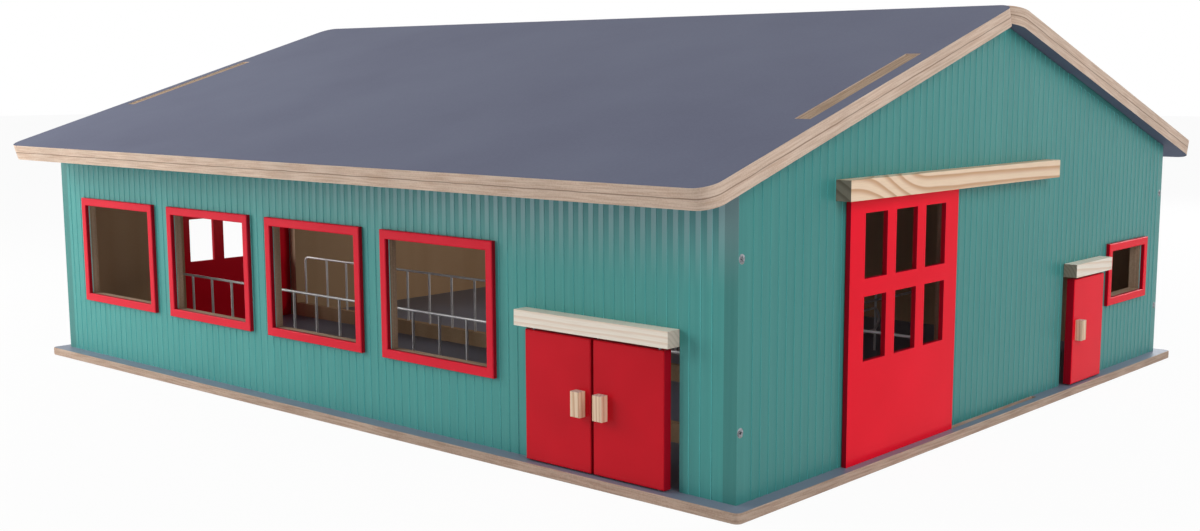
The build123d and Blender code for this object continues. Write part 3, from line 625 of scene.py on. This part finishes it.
def screw_mesh(length):
    """A countersunk screw with a thread and a cross recess, head up at the origin, in metres."""
    screw = bpy.data.objects.new("screw_blank", screw_body(length))
    cutter = bpy.data.objects.new("recess_cutter", cross_blades())
    for piece in (screw, cutter):
        bpy.context.scene.collection.objects.link(piece)
    cut = screw.modifiers.new("recess", "BOOLEAN")
    cut.object = cutter
    cut.solver = "EXACT"
    cut.use_self = True
    bpy.context.view_layer.update()
    done = bpy.data.meshes.new_from_object(screw.evaluated_get(bpy.context.evaluated_depsgraph_get()))
    for piece in (screw, cutter):
        bpy.data.objects.remove(piece)
    return done


def fit_screws(name, cad_node, outward, body):
    """Detailed screws in the places of a CAD node's plain ones, each turned by chance."""
    chance = random.Random(cad_node)
    boxes = loose_parts(nodes[cad_node].data)
    axis = max(range(3), key=lambda i: abs(outward[i]))
    length = (boxes[0][1][axis] - boxes[0][0][axis]) * 1000
    single = screw_mesh(length)
    shape = bmesh.new()
    for low, high in boxes:
        middle = (low + high) / 2
        middle[axis] = high[axis] if outward[axis] > 0 else low[axis]
        aim = Vector(outward).to_track_quat("Z", "Y").to_matrix().to_4x4()
        spin = Matrix.Rotation(chance.uniform(0.0, math.tau), 4, "Z")
        moved = single.copy()
        moved.transform(Matrix.Translation(middle) @ aim @ spin)
        shape.from_mesh(moved)
        bpy.data.meshes.remove(moved)
    mesh = bpy.data.meshes.new(name)
    shape.to_mesh(mesh)
    shape.free()
    mesh.shade_smooth()
    mesh.set_sharp_from_angle(angle=math.radians(35))
    mesh.materials.append(screw_steel)
    group = bpy.data.objects.new(name, mesh)
    bpy.context.scene.collection.objects.link(group)
    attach(group, body)
    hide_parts(cad_node)


fit_screws("gable_wood_screws_right", "gable_screws_right", (1, 0, 0), "barn")
fit_screws("gable_wood_screws_left", "gable_screws_left", (-1, 0, 0), "barn")
fit_screws("base_wood_screws", "base_screws", (0, 0, -1), "barn")


# ---------------------------------------------------------------- camera

CAMERA_PLACE = Vector((0.7910, -0.8807, 0.2304))
CAMERA_YAW = 2.281
CAMERA_PITCH = -0.139
FOCAL_PIXELS = 1435.9
IMAGE_WIDTH = 1200
IMAGE_HEIGHT = 531
LENS_CENTRE = (638.35, 279.07)  # the pixel that the lens looks at squarely
SENSOR_MM = 36.0

view = bpy.data.objects.new("camera", bpy.data.cameras.new("camera"))
bpy.context.scene.collection.objects.link(view)
forward = Vector((math.cos(CAMERA_YAW) * math.cos(CAMERA_PITCH),
                  math.sin(CAMERA_YAW) * math.cos(CAMERA_PITCH), math.sin(CAMERA_PITCH)))
view.location = CAMERA_PLACE
view.rotation_euler = forward.to_track_quat("-Z", "Y").to_euler()
view.data.sensor_width = SENSOR_MM
view.data.lens = SENSOR_MM * FOCAL_PIXELS / IMAGE_WIDTH
view.data.shift_x = (IMAGE_WIDTH / 2 - LENS_CENTRE[0]) / IMAGE_WIDTH
view.data.shift_y = (LENS_CENTRE[1] - IMAGE_HEIGHT / 2) / IMAGE_WIDTH
view.data.clip_start = 0.01
view.data.clip_end = 60.0
bpy.context.scene.camera = view


# ---------------------------------------------------------------- studio

FLOOR_REACH = 8.0  # metres each way from the barn's middle
FLOOR_DROP = 0.0003  # keeps the floor from meeting the base's underside
FLOOR_GLOW = 0.95  # share of plain white in the floor that the eye sees, the rest is lit paper
ROOM_LIGHT = 0.27


def seen_rays(tree):
    """1 for rays that show a thing to the eye: straight, mirrored or through glass."""
    rays = add(tree, "LightPath", out=None)
    indirect = add(tree, "Math", {0: rays["Is Glossy Ray"], 1: rays["Is Transmission Ray"]},
                   operation="MAXIMUM")
    return add(tree, "Math", {0: rays["Is Camera Ray"], 1: indirect}, operation="MAXIMUM")


floor_mesh = bpy.data.meshes.new("studio_floor")
floor_mesh.from_pydata([(-FLOOR_REACH, -FLOOR_REACH, 0), (FLOOR_REACH, -FLOOR_REACH, 0),
                        (FLOOR_REACH, FLOOR_REACH, 0), (-FLOOR_REACH, FLOOR_REACH, 0)],
                       [], [(0, 1, 2, 3)])
studio_floor = bpy.data.objects.new("studio_floor", floor_mesh)
studio_floor.location.z = -FLOOR_DROP
bpy.context.scene.collection.objects.link(studio_floor)

# Matt white paper: it gives the eye a plain white ground that keeps a faint shadow of the barn.
paper = bpy.data.materials.new("white_studio_paper")
paper.use_nodes = True
paper.node_tree.nodes.clear()
sheet = add(paper.node_tree, "BsdfDiffuse", {"Color": linear("#F4F4F4")})
glow = add(paper.node_tree, "Emission", {"Color": (1.0, 1.0, 1.0, 1.0), "Strength": 1.0})
share = add(paper.node_tree, "Math", {0: seen_rays(paper.node_tree), 1: FLOOR_GLOW},
            operation="MULTIPLY")
lit_paper = add(paper.node_tree, "MixShader", {0: share, 1: sheet, 2: glow})
add(paper.node_tree, "OutputMaterial", {"Surface": lit_paper}, out=None)
floor_mesh.materials.append(paper)

# A dim, slightly cool room that the eye sees as plain white.
studio = bpy.data.worlds.new("studio")
studio.use_nodes = True
studio.node_tree.nodes.clear()
bpy.context.scene.world = studio
room_light = add(studio.node_tree, "Background", {"Color": linear("#F3F6FA"), "Strength": ROOM_LIGHT})
white = add(studio.node_tree, "Background", {"Color": (1.0, 1.0, 1.0, 1.0), "Strength": 1.0})
room = add(studio.node_tree, "MixShader", {0: seen_rays(studio.node_tree), 1: room_light, 2: white})
add(studio.node_tree, "OutputWorld", {"Surface": room}, out=None)


def softbox(name, place, aim, width, height, watts, colour):
    """A rectangular studio lamp at a place, turned to a point and hidden from the camera."""
    lamp = bpy.data.lights.new(name, "AREA")
    lamp.shape = "RECTANGLE"
    lamp.size = width
    lamp.size_y = height
    lamp.energy = watts
    lamp.color = linear(colour)[:3]
    holder = bpy.data.objects.new(name, lamp)
    holder.location = place
    holder.rotation_euler = (Vector(aim) - Vector(place)).to_track_quat("-Z", "Y").to_euler()
    holder.visible_camera = False
    bpy.context.scene.collection.objects.link(holder)


softbox("key_lamp", place=(-0.98, -0.95, 0.56), aim=(-0.2, -0.25, 0.1), width=0.8, height=0.7,
        watts=13.0, colour="#FFFDF8")
softbox("gable_lamp", place=(1.65, -0.4, 1.0), aim=(0.3, -0.05, 0.15), width=1.1, height=1.0,
        watts=12.5, colour="#FFFDFA")
softbox("back_lamp", place=(0.3, 1.6, 0.75), aim=(0.1, 0.2, 0.1), width=1.2, height=0.9,
        watts=12.0, colour="#FBFCFF")
softbox("inside_lamp", place=(0.0, 0.1, 0.13), aim=(-0.35, 0.1, 0.1), width=0.14, height=0.14,
        watts=0.24, colour="#FFF6EA")

bpy.context.scene.view_settings.view_transform = "Standard"
